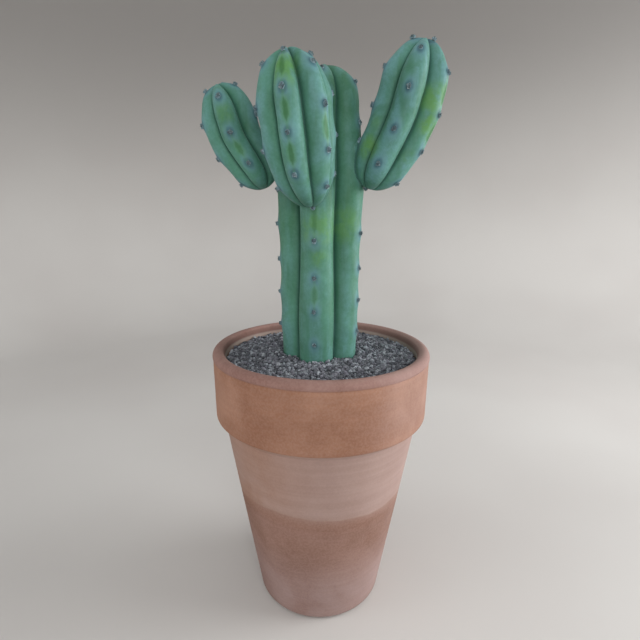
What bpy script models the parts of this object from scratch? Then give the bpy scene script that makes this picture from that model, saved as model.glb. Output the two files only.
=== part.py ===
"""Potted blue candle cactus: a ribbed five-sided stem with three arms in a tall terracotta pot.

Metres, +Z up. The origin is on the pot's axis, on the surface that the pot stands on.
The viewer stands on the -Y side. Angles round a limb are measured from -Y towards +X.
"""
import math
import random

import bmesh
import bpy
from mathutils import Vector

# Pot: a turned clay wall with a thick collar under a full round lip
POT_SIDES = 60
RIM_R = 0.110
RIM_Z = 0.2785
LIP_ROUND = 0.0060
LIP_GROOVE_Z = 0.2700
LIP_GROOVE_R = 0.1088
LIP_GROOVE_HALF = 0.0016
COLLAR_TOP_R = 0.1094
COLLAR_R = 0.1085
COLLAR_Z = 0.2125
COLLAR_ROUND = 0.003
BODY_TOP_R = 0.1000
BODY_TOP_Z = 0.2040
BASE_R = 0.0670
BASE_ROUND = 0.007
FOOT_OUTER_R = 0.0600
FOOT_INNER_R = 0.0500
FOOT_RECESS = 0.0030
DRAIN_R = 0.0110
FLOOR_Z = 0.0140
MOUTH_R = 0.0980
INNER_COLLAR_R = 0.0915
INNER_COLLAR_Z = 0.2040
INNER_BASE_R = 0.0570
BODY_SHARES = (0.33, 0.67, 1.0)
POT_SMOOTH = math.radians(35)

# Fill: potting soil up to just under the grit, then a thin dressing of grit
CONTACT_GAP = 0.0005
SOIL_Z = 0.2600
SOIL_SMOOTH = math.radians(40)
GRIT_EDGE_Z = 0.2675
GRIT_STEM_Z = 0.2715
GRIT_RINGS = 12
GRIT_SEGMENTS_PER_RIB = 15
GRIT_RELIEF = 0.0016
GRIT_JITTER = 0.0011
GRIT_FALL = 1.6
GRIT_SMOOTH = math.radians(20)

# Stem: five ribs, standing in a plain hole in the soil
STEM_RIBS = 5
STEM_FRONT_RIB = math.radians(-8)
STEM_FOOT_Z = 0.1950
STEM_FOOT_R = 0.0240
STEM_HEEL_Z = 0.2150
STEM_BURIED_Z = 0.2350
STEM_R = 0.0383
STEM_SHAFT_R = 0.0397
STEM_SHAFT_RISE = (0.270, 0.330)
STEM_SHOULDER_R = 0.0425
STEM_SHOULDER_RISE = (0.360, 0.440)
STEM_AXIS_X = -0.0012
STEM_TIP_X = 0.0018
STEM_LEAN_Z = 0.4000
STEM_TAPER_Z = 0.4450
STEM_TOP_R = 0.0335
STEM_CROWN_Z = 0.5030
STEM_TIP_Z = 0.5400
STEM_GROOVE = 0.74
STEM_GROOVE_TOP = 0.60
STEM_GROOVE_RISE = (0.300, 0.400)
STEM_SHAFT_START_Z = 0.2950
STEM_SHAFT_STEPS = 13

# Ribs: where a rib's section has its points, from one groove to the next
RIB_STATIONS = (0.0, 0.1, 0.29, 0.5, 0.71, 0.9)
RIB_ROUNDNESS = 0.72
DOME_POWER = 2.2
CROWN_STEPS = 5
CROWN_REACH = 0.955
CROWN_DIMPLE = 0.0030
CROWN_GROOVE_SINK = 0.0050
SKIN_SMOOTH = math.radians(60)

# Areoles: a felt pad on a rib's crest with short spines
PAD_R = 0.0027
PAD_STRETCH = 1.15
PAD_PROUD = 0.0012
PAD_SHOULDER = 0.45
PAD_SUNK = 0.0030
PAD_SIDES = 5
SPINE_COUNT = 3
SPINE_R = 0.0006
SPINE_LENGTH = 0.0038
SPINE_LENGTHS = (0.75, 1.15)
SPINE_SPREAD = math.radians(52)
SPINE_ROOT_SHARE = 0.3
SPINE_ROOT_SUNK = 0.0006
STEM_AREOLE_STEP = 0.0330
STEM_AREOLE_SPREAD = (0.93, 1.07)
STEM_CROWN_SHARE = 0.55
STEM_FIRST_SHIFT = 0.6
STEM_LAST_AREOLE = 0.0040
ARM_AREOLE_STEP = 0.0300
ARM_AREOLE_SPREAD = (0.95, 1.05)
FIRST_STEM_AREOLE_Z = 0.2890
SLOPE_STEP = 0.0010
LIMB_MARGIN = 0.0020
LIMB_SAMPLES = 24
SEED = 7

# Arms: each is a ribbed body that starts at a blunt base against a rib of the stem and turns upwards.
# path runs from the base's pole to the tip; front_rib is the angle of the rib that faces forward;
# first_areoles has each rib's distance from the tip to its first areole.
ARMS = {
    "front": {
        "path": ((-0.0096, -0.0470, 0.4160), (-0.0153, -0.0610, 0.4424), (-0.0186, -0.0700, 0.4688),
                 (-0.0210, -0.0740, 0.4887), (-0.0237, -0.0770, 0.5087), (-0.0269, -0.0780, 0.5307)),
        "radius": 0.0299, "ribs": 6, "front_rib": math.radians(-13.2),
        "first_areoles": (0.0125, 0.0280, 0.0180, 0.0090, 0.0260, 0.0227),
    },
    "left": {
        "path": ((-0.0541, -0.0080, 0.4324), (-0.0613, -0.0100, 0.4487), (-0.0768, -0.0120, 0.4736),
                 (-0.0830, -0.0130, 0.4900), (-0.0873, -0.0140, 0.5042), (-0.0932, -0.0150, 0.5203)),
        "radius": 0.0246, "ribs": 5, "front_rib": math.radians(-1.1),
        "first_areoles": (0.0256, 0.0166, 0.0070, 0.0210, 0.0110),
    },
    "right": {
        "path": ((0.0439, -0.0220, 0.4317), (0.0528, -0.0270, 0.4521), (0.0683, -0.0310, 0.4866),
                 (0.0745, -0.0340, 0.5080), (0.0788, -0.0370, 0.5271), (0.0837, -0.0390, 0.5497)),
        "radius": 0.0287, "ribs": 5, "front_rib": math.radians(-14.4),
        "first_areoles": (0.0235, 0.0056, 0.0190, 0.0280, 0.0106),
    },
}
ARM_GROOVE = 0.71
ARM_GROOVE_TOP = 0.62
ARM_FULL_AT = 0.45
ARM_CROWN_AT = 0.62
ARM_BASE_STEPS = 5
ARM_BODY_STEPS = 3
ARM_FINE_STEPS = 120
ARM_LOWEST_STEP = 8

# Necks: a short round stub joins each arm to the stem
NECK_R = 0.0100
NECK_SIDES = 10
NECK_AT = 0.28
NECK_STEM_SHARE = 0.35


def clear_scene():
    for old in list(bpy.data.objects):
        bpy.data.objects.remove(old, do_unlink=True)


def material(name, colour, roughness):
    mat = bpy.data.materials.new(name)
    mat.use_nodes = True
    shader = mat.node_tree.nodes["Principled BSDF"]
    shader.inputs["Base Color"].default_value = (*colour, 1.0)
    shader.inputs["Roughness"].default_value = roughness
    shader.inputs["Metallic"].default_value = 0.0
    return mat


def mix(a, b, t):
    return a + (b - a) * t


def ease(t):
    t = min(max(t, 0.0), 1.0)
    return t * t * (3.0 - 2.0 * t)


def polar(radius, angle, z=0.0):
    """A point at a radius and an angle from -Y towards +X."""
    return Vector((radius * math.sin(angle), -radius * math.cos(angle), z))


def object_from_rings(name, rings, mat, smooth_angle, closed=False):
    """A skin over rings of equal length; a ring of one point is a pole, and closed joins last to first."""
    bm = bmesh.new()
    levels = [[bm.verts.new(point) for point in ring] for ring in rings]
    pairs = list(zip(levels, levels[1:]))
    if closed:
        pairs.append((levels[-1], levels[0]))
    for low, high in pairs:
        count = max(len(low), len(high))
        for i in range(count):
            j = (i + 1) % count
            if len(low) == 1:
                bm.faces.new((low[0], high[j], high[i]))
            elif len(high) == 1:
                bm.faces.new((low[i], low[j], high[0]))
            else:
                bm.faces.new((low[i], low[j], high[j], high[i]))
    bmesh.ops.triangulate(bm, faces=bm.faces)
    bmesh.ops.recalc_face_normals(bm, faces=bm.faces)
    if bm.calc_volume(signed=True) < 0.0:
        bmesh.ops.reverse_faces(bm, faces=bm.faces)
    mesh = bpy.data.meshes.new(name)
    bm.to_mesh(mesh)
    bm.free()
    mesh.shade_smooth()
    mesh.set_sharp_from_angle(angle=smooth_angle)
    obj = bpy.data.objects.new(name, mesh)
    obj.data.materials.append(mat)
    bpy.context.scene.collection.objects.link(obj)
    return obj


def arc(centre, radius, start, end, steps):
    """Profile points (r, z) on a quarter round, angles in degrees from +r towards +z."""
    angles = [math.radians(mix(start, end, i / steps)) for i in range(steps + 1)]
    return [(centre[0] + radius * math.cos(a), centre[1] + radius * math.sin(a)) for a in angles]


def inner_radius(z):
    """The pot's inner wall, as one straight run under the collar and a steeper one inside it."""
    if z < INNER_COLLAR_Z:
        return mix(INNER_BASE_R, INNER_COLLAR_R, (z - FLOOR_Z) / (INNER_COLLAR_Z - FLOOR_Z))
    return mix(INNER_COLLAR_R, MOUTH_R, (z - INNER_COLLAR_Z) / (RIM_Z - INNER_COLLAR_Z))


def pot_profile():
    lip_centre_z = RIM_Z - LIP_ROUND
    profile = [(DRAIN_R, FOOT_RECESS), (FOOT_INNER_R - FOOT_RECESS, FOOT_RECESS), (FOOT_INNER_R, 0.0)]
    profile += arc((FOOT_OUTER_R, BASE_ROUND), BASE_ROUND, -90, -10, 4)
    profile += [(mix(BASE_R, BODY_TOP_R, t), mix(BASE_ROUND, BODY_TOP_Z, t)) for t in BODY_SHARES]
    profile += arc((COLLAR_R - COLLAR_ROUND, COLLAR_Z), COLLAR_ROUND, -60, 0, 2)
    profile += [(COLLAR_TOP_R, LIP_GROOVE_Z - LIP_GROOVE_HALF), (LIP_GROOVE_R, LIP_GROOVE_Z)]
    profile += arc((RIM_R - LIP_ROUND, lip_centre_z), LIP_ROUND, -10, 180, 9)
    profile += [(inner_radius(INNER_COLLAR_Z), INNER_COLLAR_Z), (INNER_BASE_R, FLOOR_Z), (DRAIN_R, FLOOR_Z)]
    return profile


def make_pot():
    clay = material("terracotta", (0.30, 0.135, 0.085), 0.85)
    angles = [2.0 * math.pi * i / POT_SIDES for i in range(POT_SIDES)]
    rings = [[polar(r, a, z) for a in angles] for r, z in pot_profile()]
    return object_from_rings("pot", rings, clay, POT_SMOOTH, closed=True)


def rib_height(t):
    """0 in the groove between two ribs, 1 on the crest, for t running from groove to groove."""
    return math.sin(math.pi * t) ** RIB_ROUNDNESS if t > 0.0 else 0.0


def rib_section(ribs, front_rib, stations=RIB_STATIONS):
    """(angle, height) of the points round a ribbed limb, starting at a groove."""
    pitch = 2.0 * math.pi / ribs
    start = front_rib - 0.5 * pitch
    return [(start + pitch * (k + t), rib_height(t)) for k in range(ribs) for t in stations]


def stem_axis_x(z):
    return mix(STEM_AXIS_X, STEM_TIP_X, ease((z - STEM_LEAN_Z) / (STEM_TIP_Z - STEM_LEAN_Z)))


def rise(z, span):
    """An eased 0 to 1 between two heights."""
    return ease((z - span[0]) / (span[1] - span[0]))


def stem_groove(z):
    """The groove's radius as a share of the crest's."""
    return mix(STEM_GROOVE, STEM_GROOVE_TOP, rise(z, STEM_GROOVE_RISE))


def crown_share(share):
    """How wide a domed crown still is, from 1 at its start to 0 at its tip."""
    return math.sqrt(max(1.0 - share ** DOME_POWER, 0.0))


def stem_crest(z):
    """The crest's radius: a blunt buried foot, a straight shaft, a shoulder, a taper and a domed crown."""
    if z < STEM_BURIED_Z:
        return mix(STEM_FOOT_R, STEM_R, rise(z, (STEM_FOOT_Z, STEM_BURIED_Z)))
    radius = mix(STEM_R, STEM_SHAFT_R, rise(z, STEM_SHAFT_RISE))
    radius = mix(radius, STEM_SHOULDER_R, rise(z, STEM_SHOULDER_RISE))
    radius = mix(radius, STEM_TOP_R, rise(z, (STEM_TAPER_Z, STEM_CROWN_Z)))
    if z > STEM_CROWN_Z:
        radius *= crown_share(min((z - STEM_CROWN_Z) / (STEM_TIP_Z - STEM_CROWN_Z), 1.0))
    return radius


def stem_ring(z, section, clearance=0.0):
    crest = stem_crest(z)
    groove = stem_groove(z)
    x = stem_axis_x(z)
    ring = []
    for angle, height in section:
        point = polar(crest * mix(groove, 1.0, height) + clearance, angle, z)
        point.x += x
        ring.append(point)
    return ring


def sink_grooves(ring, section, inward, share):
    """Lets the grooves lag behind the crests where the ribs turn over the crown."""
    return [point + inward * (CROWN_GROOVE_SINK * share * (1.0 - height))
            for point, (_, height) in zip(ring, section)]


def crown_stations():
    """Shares of a crown's height with a ring, closer together towards its tip."""
    return [math.sin(0.5 * math.pi * CROWN_REACH * i / CROWN_STEPS) for i in range(1, CROWN_STEPS + 1)]


def make_stem(mat):
    section = rib_section(STEM_RIBS, STEM_FRONT_RIB)
    down = Vector((0.0, 0.0, -1.0))
    shaft = [STEM_FOOT_Z, STEM_HEEL_Z, STEM_BURIED_Z, STEM_SHAFT_START_Z]
    shaft += [mix(STEM_SHAFT_START_Z, STEM_CROWN_Z, i / STEM_SHAFT_STEPS)
              for i in range(1, STEM_SHAFT_STEPS + 1)]
    rings = [[Vector((stem_axis_x(STEM_FOOT_Z), 0.0, STEM_FOOT_Z))]]
    rings += [stem_ring(z, section) for z in shaft]
    for share in crown_stations():
        z = mix(STEM_CROWN_Z, STEM_TIP_Z, share)
        rings.append(sink_grooves(stem_ring(z, section), section, down, share))
    rings.append([Vector((STEM_TIP_X, 0.0, STEM_TIP_Z - CROWN_DIMPLE))])
    return object_from_rings("cactus", rings, mat, SKIN_SMOOTH)


def curve_point(path, t):
    """A point on a smooth curve through the path's points, t from 0 to 1."""
    last = len(path) - 1
    span = min(int(t * last), last - 1)
    u = t * last - span
    p1, p2 = Vector(path[span]), Vector(path[span + 1])
    p0 = Vector(path[span - 1]) if span > 0 else 2.0 * p1 - p2
    p3 = Vector(path[span + 2]) if span + 2 <= last else 2.0 * p2 - p1
    return 0.5 * (2.0 * p1 + (p2 - p0) * u + (2.0 * p0 - 5.0 * p1 + 4.0 * p2 - p3) * u ** 2
                  + (3.0 * p1 - p0 - 3.0 * p2 + p3) * u ** 3)


def arm_stations():
    """Shares of an arm's length with a ring: closer over the blunt base and over the crown."""
    base = [ARM_FULL_AT * (1.0 - math.cos(0.5 * math.pi * i / ARM_BASE_STEPS))
            for i in range(1, ARM_BASE_STEPS + 1)]
    body = [mix(ARM_FULL_AT, ARM_CROWN_AT, i / ARM_BODY_STEPS) for i in range(1, ARM_BODY_STEPS + 1)]
    crown = [mix(ARM_CROWN_AT, 1.0, share) for share in crown_stations()]
    return base + body + crown


def arm_crest(arm, t):
    swell = max(1.0 - t / ARM_FULL_AT, 0.0)
    radius = arm["radius"] * (1.0 - swell ** DOME_POWER) ** (1.0 / DOME_POWER)
    if t > ARM_CROWN_AT:
        radius *= crown_share((t - ARM_CROWN_AT) / (1.0 - ARM_CROWN_AT))
    return radius


def arm_axes(arm):
    """(along, forward, sideways) of an arm's rings, which all stand square to its upper part."""
    along = (Vector(arm["path"][-1]) - Vector(arm["path"][2])).normalized()
    forward = Vector((0.0, -1.0, 0.0))
    forward = (forward - forward.dot(along) * along).normalized()
    return along, forward, along.cross(forward)


def arm_ring(arm, t, section):
    along, forward, sideways = arm_axes(arm)
    centre = curve_point(arm["path"], t)
    crest = arm_crest(arm, t)
    groove = mix(ARM_GROOVE, ARM_GROOVE_TOP, ease(t / ARM_CROWN_AT))
    ring = [centre + (forward * math.cos(a) + sideways * math.sin(a)) * crest * mix(groove, 1.0, h)
            for a, h in section]
    if t > ARM_CROWN_AT:
        ring = sink_grooves(ring, section, -along, (t - ARM_CROWN_AT) / (1.0 - ARM_CROWN_AT))
    return ring


def make_arm(name, arm, mat):
    section = rib_section(arm["ribs"], arm["front_rib"])
    rings = [[curve_point(arm["path"], 0.0)]]
    rings += [arm_ring(arm, t, section) for t in arm_stations()]
    rings.append([Vector(arm["path"][-1]) - arm_axes(arm)[0] * CROWN_DIMPLE])
    return object_from_rings(name + "_arm", rings, mat, SKIN_SMOOTH)


def make_neck(name, arm, mat):
    """A round stub from inside the stem to inside an arm's base."""
    far = curve_point(arm["path"], NECK_AT)
    near = Vector((far.x * NECK_STEM_SHARE, far.y * NECK_STEM_SHARE, far.z))
    direction = (far - near).normalized()
    side = direction.orthogonal().normalized()
    other = direction.cross(side)
    turns = [2.0 * math.pi * i / NECK_SIDES for i in range(NECK_SIDES)]
    ends = [[end + (side * math.cos(a) + other * math.sin(a)) * NECK_R for a in turns]
            for end in (near, far)]
    return object_from_rings(name + "_neck", [[near], *ends, [far]], mat, SKIN_SMOOTH)


def inside_a_limb(point, own=None):
    """Whether a point lies in or close to a limb other than its own."""
    if own != "stem" and point.z < STEM_TIP_Z:
        offset = point - Vector((stem_axis_x(point.z), 0.0, point.z))
        if offset.length < stem_crest(point.z) + LIMB_MARGIN:
            return True
    for name, arm in ARMS.items():
        if name == own:
            continue
        for i in range(LIMB_SAMPLES + 1):
            t = i / LIMB_SAMPLES
            if (point - curve_point(arm["path"], t)).length < arm_crest(arm, t) + LIMB_MARGIN:
                return True
    return False


def stem_areoles(rng):
    """(point, outward, along) of the areoles on the stem's crests."""
    found = []
    for rib in range(STEM_RIBS):
        angle = STEM_FRONT_RIB + 2.0 * math.pi * rib / STEM_RIBS
        out = polar(1.0, angle)
        side = Vector((0.0, 0.0, 1.0)).cross(out)
        z = FIRST_STEM_AREOLE_Z
        if rib > 0:
            z += rng.uniform(0.0, STEM_FIRST_SHIFT) * STEM_AREOLE_STEP
        while z < STEM_TIP_Z - STEM_LAST_AREOLE:
            point = out * stem_crest(z) + Vector((stem_axis_x(z), 0.0, z))
            above = out * stem_crest(z + SLOPE_STEP) + Vector((stem_axis_x(z), 0.0, z + SLOPE_STEP))
            along = (above - point).normalized()
            outward = side.cross(along).normalized()
            found.append((point, outward, along))
            gap = STEM_AREOLE_STEP * rng.uniform(*STEM_AREOLE_SPREAD)
            z += gap if z < STEM_CROWN_Z else gap * STEM_CROWN_SHARE
    return [areole for areole in found if not inside_a_limb(areole[0], "stem")]


def arm_areoles(name, arm, rng):
    """(point, outward, along) of the areoles on an arm's crests, from the crown down to the base."""
    found = []
    _, forward, sideways = arm_axes(arm)
    fine = [i / ARM_FINE_STEPS for i in range(ARM_FINE_STEPS + 1)]
    for rib in range(arm["ribs"]):
        angle = arm["front_rib"] + 2.0 * math.pi * rib / arm["ribs"]
        out = forward * math.cos(angle) + sideways * math.sin(angle)
        crest = [curve_point(arm["path"], t) + out * arm_crest(arm, t) for t in fine]
        left = arm["first_areoles"][rib]
        for i in range(len(fine) - 2, ARM_LOWEST_STEP, -1):
            left -= (crest[i + 1] - crest[i]).length
            if left > 0.0:
                continue
            along = (crest[i + 1] - crest[i - 1]).normalized()
            outward = (out - out.dot(along) * along).normalized()
            found.append((crest[i], outward, along))
            left = ARM_AREOLE_STEP * rng.uniform(*ARM_AREOLE_SPREAD)
    return [areole for areole in found if not inside_a_limb(areole[0], name)]


def make_pad(point, outward, along, mat):
    side = along.cross(outward)
    turns = [2.0 * math.pi * i / PAD_SIDES for i in range(PAD_SIDES)]

    def ring(height):
        return [point + outward * height
                + (along * math.cos(a) * PAD_STRETCH + side * math.sin(a)) * PAD_R for a in turns]

    rings = [[point - outward * PAD_SUNK], ring(-PAD_SUNK), ring(PAD_PROUD * PAD_SHOULDER),
             [point + outward * PAD_PROUD]]
    return object_from_rings("areole_pad", rings, mat, SKIN_SMOOTH)


def make_spine(root, direction, length, mat):
    side = direction.orthogonal().normalized()
    other = direction.cross(side)
    base = [root + (side * math.cos(a) + other * math.sin(a)) * SPINE_R
            for a in (0.0, 2.0 * math.pi / 3.0, 4.0 * math.pi / 3.0)]
    centre = root - direction * (SPINE_ROOT_SHARE * SPINE_R)
    rings = [[centre], base, [root + direction * length]]
    return object_from_rings("spine", rings, mat, SKIN_SMOOTH)


def make_tuft(own, areole, rng, mat):
    """An areole's pad and the spines on it that don't run into another limb than their own."""
    point, outward, along = areole
    pieces = [make_pad(point, outward, along, mat)]
    side = along.cross(outward)
    turn = rng.uniform(0.0, 2.0 * math.pi)
    for i in range(SPINE_COUNT):
        a = turn + 2.0 * math.pi * i / SPINE_COUNT
        lean = along * math.cos(a) + side * math.sin(a)
        direction = (outward * math.cos(SPINE_SPREAD) + lean * math.sin(SPINE_SPREAD)).normalized()
        root = point + lean * (SPINE_ROOT_SHARE * PAD_R) - outward * SPINE_ROOT_SUNK
        length = SPINE_LENGTH * rng.uniform(*SPINE_LENGTHS)
        if not inside_a_limb(root + direction * length, own):
            pieces.append(make_spine(root, direction, length, mat))
    return pieces


def fuse(body, parts):
    """One Boolean union of a body with a collection of parts, which are then removed."""
    group = bpy.data.collections.new("fused_parts")
    bpy.context.scene.collection.children.link(group)
    for part in parts:
        group.objects.link(part)
        bpy.context.scene.collection.objects.unlink(part)
    union = body.modifiers.new("union", "BOOLEAN")
    union.operation = "UNION"
    union.operand_type = "COLLECTION"
    union.collection = group
    union.solver = "EXACT"
    bpy.ops.object.select_all(action="DESELECT")
    body.select_set(True)
    bpy.context.view_layer.objects.active = body
    bpy.ops.object.modifier_apply(modifier=union.name)
    for part in parts:
        bpy.data.objects.remove(part, do_unlink=True)
    bpy.data.collections.remove(group)


def make_cactus():
    skin = material("cactus_skin", (0.095, 0.255, 0.175), 0.55)
    rng = random.Random(SEED)
    stem = make_stem(skin)
    areoles = [("stem", areole) for areole in stem_areoles(rng)]
    for name, arm in ARMS.items():
        fuse(stem, [make_arm(name, arm, skin)])
        fuse(stem, [make_neck(name, arm, skin)])
        areoles += [(name, areole) for areole in arm_areoles(name, arm, rng)]
    fuse(stem, [piece for own, areole in areoles for piece in make_tuft(own, areole, rng, skin)])
    return stem


def make_soil():
    earth = material("potting_soil", (0.045, 0.030, 0.022), 0.95)
    section = rib_section(STEM_RIBS, STEM_FRONT_RIB)
    floor_z = FLOOR_Z + CONTACT_GAP
    bed_z = STEM_FOOT_Z - CONTACT_GAP

    def wall(z):
        return [polar(inner_radius(z) - CONTACT_GAP, angle, z) for angle, _ in section]

    rings = [[Vector((0.0, 0.0, floor_z))]]
    rings += [wall(z) for z in (floor_z, INNER_COLLAR_Z, SOIL_Z)]
    rings += [stem_ring(z, section, CONTACT_GAP) for z in (SOIL_Z, STEM_BURIED_Z, STEM_HEEL_Z)]
    foot = stem_ring(STEM_FOOT_Z, section, CONTACT_GAP)
    rings.append([Vector((p.x, p.y, bed_z)) for p in foot])
    rings.append([Vector((stem_axis_x(bed_z), 0.0, bed_z))])
    return object_from_rings("soil", rings, earth, SOIL_SMOOTH)


def make_gravel():
    """Grit in a ring round the stem: a sheet whose points stand up and sink by a seeded draw."""
    stone = material("grit", (0.18, 0.165, 0.165), 0.9)
    rng = random.Random(SEED + 1)
    stations = [i / GRIT_SEGMENTS_PER_RIB for i in range(GRIT_SEGMENTS_PER_RIB)]
    section = rib_section(STEM_RIBS, STEM_FRONT_RIB, stations)
    bottom = SOIL_Z + CONTACT_GAP
    inner = stem_ring(SOIL_Z, section, CONTACT_GAP)
    outer = [polar(inner_radius(SOIL_Z) - CONTACT_GAP, angle) for angle, _ in section]
    rings = [[Vector((p.x, p.y, bottom)) for p in inner], [Vector((p.x, p.y, bottom)) for p in outer]]
    top = []
    for k in range(GRIT_RINGS + 1):
        share = k / GRIT_RINGS
        at_edge = k in (0, GRIT_RINGS)
        ring = []
        for near, far in zip(inner, outer):
            x, y = mix(near.x, far.x, share), mix(near.y, far.y, share)
            if not at_edge:
                x += rng.uniform(-GRIT_JITTER, GRIT_JITTER)
                y += rng.uniform(-GRIT_JITTER, GRIT_JITTER)
            level = mix(GRIT_STEM_Z, GRIT_EDGE_Z, ease(GRIT_FALL * share))
            ring.append(Vector((x, y, level + rng.uniform(-GRIT_RELIEF, GRIT_RELIEF))))
        top.append(ring)
    rings += top[::-1]
    return object_from_rings("gravel", rings, stone, GRIT_SMOOTH, closed=True)


def build():
    clear_scene()
    make_pot()
    make_soil()
    make_gravel()
    make_cactus()


build()
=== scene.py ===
"""Potted blue candle cactus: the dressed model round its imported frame.

Metres, +Z up, as in the frame: the origin is on the pot's axis, on the surface that the pot stands on.
The viewer stands on the -Y side. Angles round a limb and round the pot run from -Y towards +X.
"""
import math
import random

import bpy
import numpy as np
from mathutils import Matrix, Vector, noise
from mathutils.kdtree import KDTree


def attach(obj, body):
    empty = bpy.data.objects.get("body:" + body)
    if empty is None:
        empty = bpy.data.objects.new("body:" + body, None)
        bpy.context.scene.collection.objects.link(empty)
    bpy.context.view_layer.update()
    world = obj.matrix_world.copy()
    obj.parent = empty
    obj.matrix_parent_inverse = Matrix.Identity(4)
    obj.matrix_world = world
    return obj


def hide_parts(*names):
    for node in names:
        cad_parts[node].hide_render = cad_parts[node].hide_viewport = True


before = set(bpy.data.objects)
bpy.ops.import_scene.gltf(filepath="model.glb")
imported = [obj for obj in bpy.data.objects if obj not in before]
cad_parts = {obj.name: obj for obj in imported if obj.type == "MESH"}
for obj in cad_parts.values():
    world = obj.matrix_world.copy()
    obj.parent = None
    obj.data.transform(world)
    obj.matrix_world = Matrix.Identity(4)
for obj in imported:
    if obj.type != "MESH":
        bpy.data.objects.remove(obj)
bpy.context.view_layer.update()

SEED = 7

# Camera, fitted to the pot's outline
CAMERA_PLACE = Vector((0.0, -0.4567, 0.4152))
CAMERA_DOWN = 0.2388
CAMERA_TURN = 0.0031
CAMERA_ROLL = 0.0075
CAMERA_LENS = 25.875

# Pot, as in the frame
POT_SIDES = 144
RIM_R = 0.110
RIM_Z = 0.2785
LIP_ROUND = 0.0060
LIP_GROOVE_Z = 0.2700
LIP_GROOVE_R = 0.1088
LIP_GROOVE_HALF = 0.0008
LIP_GROOVE_SLOPE = 0.0002
COLLAR_TOP_R = 0.1094
COLLAR_R = 0.1085
COLLAR_Z = 0.2125
COLLAR_ROUND = 0.003
BODY_TOP_R = 0.1000
BODY_TOP_Z = 0.2040
BASE_ROUND = 0.007
FOOT_OUTER_R = 0.0600
FOOT_INNER_R = 0.0500
FOOT_RECESS = 0.0030
DRAIN_R = 0.0110
FLOOR_Z = 0.0140
MOUTH_R = 0.0980
INNER_COLLAR_R = 0.0915
INNER_COLLAR_Z = 0.2040
INNER_BASE_R = 0.0570
INNER_LEVELS = (0.2620, 0.2400)
CLAY_STEP = 0.0022
TURNING_RIPPLE = 0.00007
SHARP_EDGE = math.radians(40)

# Grit
SOIL_Z = 0.2600
GRIT_EDGE_Z = 0.2675
GRIT_STEM_Z = 0.2715

# Stem, as in the frame
STEM_RIBS = 5
STEM_FRONT_RIB = math.radians(-8)
STEM_FOOT_Z = 0.1950
STEM_FOOT_R = 0.0240
STEM_BURIED_Z = 0.2350
STEM_R = 0.0383
STEM_SHAFT_R = 0.0397
STEM_SHAFT_RISE = (0.270, 0.330)
STEM_SHOULDER_R = 0.0425
STEM_SHOULDER_RISE = (0.360, 0.440)
STEM_AXIS_X = -0.0012
STEM_TIP_X = 0.0018
STEM_LEAN_Z = 0.4000
STEM_TAPER_Z = 0.4450
STEM_TOP_R = 0.0335
STEM_CROWN_Z = 0.5030
STEM_TIP_Z = 0.5400
STEM_GROOVE = 0.74
STEM_GROOVE_TOP = 0.60
STEM_GROOVE_RISE = (0.300, 0.400)
RIB_ROUNDNESS = 0.72
DOME_POWER = 2.2
CROWN_DIMPLE = 0.0030
CROWN_GROOVE_SINK = 0.0050

# Areoles, placed as in the frame
STEM_AREOLE_STEP = 0.0330
STEM_AREOLE_SPREAD = (0.93, 1.07)
STEM_CROWN_SHARE = 0.55
STEM_FIRST_SHIFT = 0.6
STEM_LAST_AREOLE = 0.0040
ARM_AREOLE_STEP = 0.0300
ARM_AREOLE_SPREAD = (0.95, 1.05)
FIRST_STEM_AREOLE_Z = 0.2890
SLOPE_STEP = 0.0010
LIMB_MARGIN = 0.0020
LIMB_SAMPLES = 24

# Arms, as in the frame. path runs from the base's pole to the tip; wax is how much pale bloom the skin has,
# and dashed how many of the gaps between areoles have a dark green streak.
ARMS = {
    "front": {
        "path": ((-0.0096, -0.0470, 0.4160), (-0.0153, -0.0610, 0.4424), (-0.0186, -0.0700, 0.4688),
                 (-0.0210, -0.0740, 0.4887), (-0.0237, -0.0770, 0.5087), (-0.0269, -0.0780, 0.5307)),
        "radius": 0.0299, "ribs": 6, "front_rib": math.radians(-13.2),
        "first_areoles": (0.0125, 0.0280, 0.0180, 0.0090, 0.0260, 0.0227), "wax": 0.80, "dashed": 0.9,
    },
    "left": {
        "path": ((-0.0541, -0.0080, 0.4324), (-0.0613, -0.0100, 0.4487), (-0.0768, -0.0120, 0.4736),
                 (-0.0830, -0.0130, 0.4900), (-0.0873, -0.0140, 0.5042), (-0.0932, -0.0150, 0.5203)),
        "radius": 0.0246, "ribs": 5, "front_rib": math.radians(-1.1),
        "first_areoles": (0.0256, 0.0166, 0.0070, 0.0210, 0.0110), "wax": 0.65, "dashed": 0.3,
    },
    "right": {
        "path": ((0.0439, -0.0220, 0.4317), (0.0528, -0.0270, 0.4521), (0.0683, -0.0310, 0.4866),
                 (0.0745, -0.0340, 0.5080), (0.0788, -0.0370, 0.5271), (0.0837, -0.0390, 0.5497)),
        "radius": 0.0287, "ribs": 5, "front_rib": math.radians(-14.4),
        "first_areoles": (0.0235, 0.0056, 0.0190, 0.0280, 0.0106), "wax": 1.0, "dashed": 0.3,
    },
}
STEM_WAX = 0.55
STEM_DASHED = 0.55
ARM_GROOVE = 0.71
ARM_GROOVE_TOP = 0.62
ARM_FULL_AT = 0.45
ARM_CROWN_AT = 0.62
ARM_FINE_STEPS = 120
ARM_LOWEST_STEP = 8
NECK_R = 0.0100
NECK_AT = 0.28
NECK_STEM_SHARE = 0.35


def mix(a, b, t):
    return a + (b - a) * t


def ease(t):
    t = min(max(t, 0.0), 1.0)
    return t * t * (3.0 - 2.0 * t)


def polar(radius, angle, z=0.0):
    return Vector((radius * math.sin(angle), -radius * math.cos(angle), z))


def select_nothing():
    bpy.ops.object.select_all(action="DESELECT")


def select_only(piece):
    select_nothing()
    piece.select_set(True)
    bpy.context.view_layer.objects.active = piece


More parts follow.
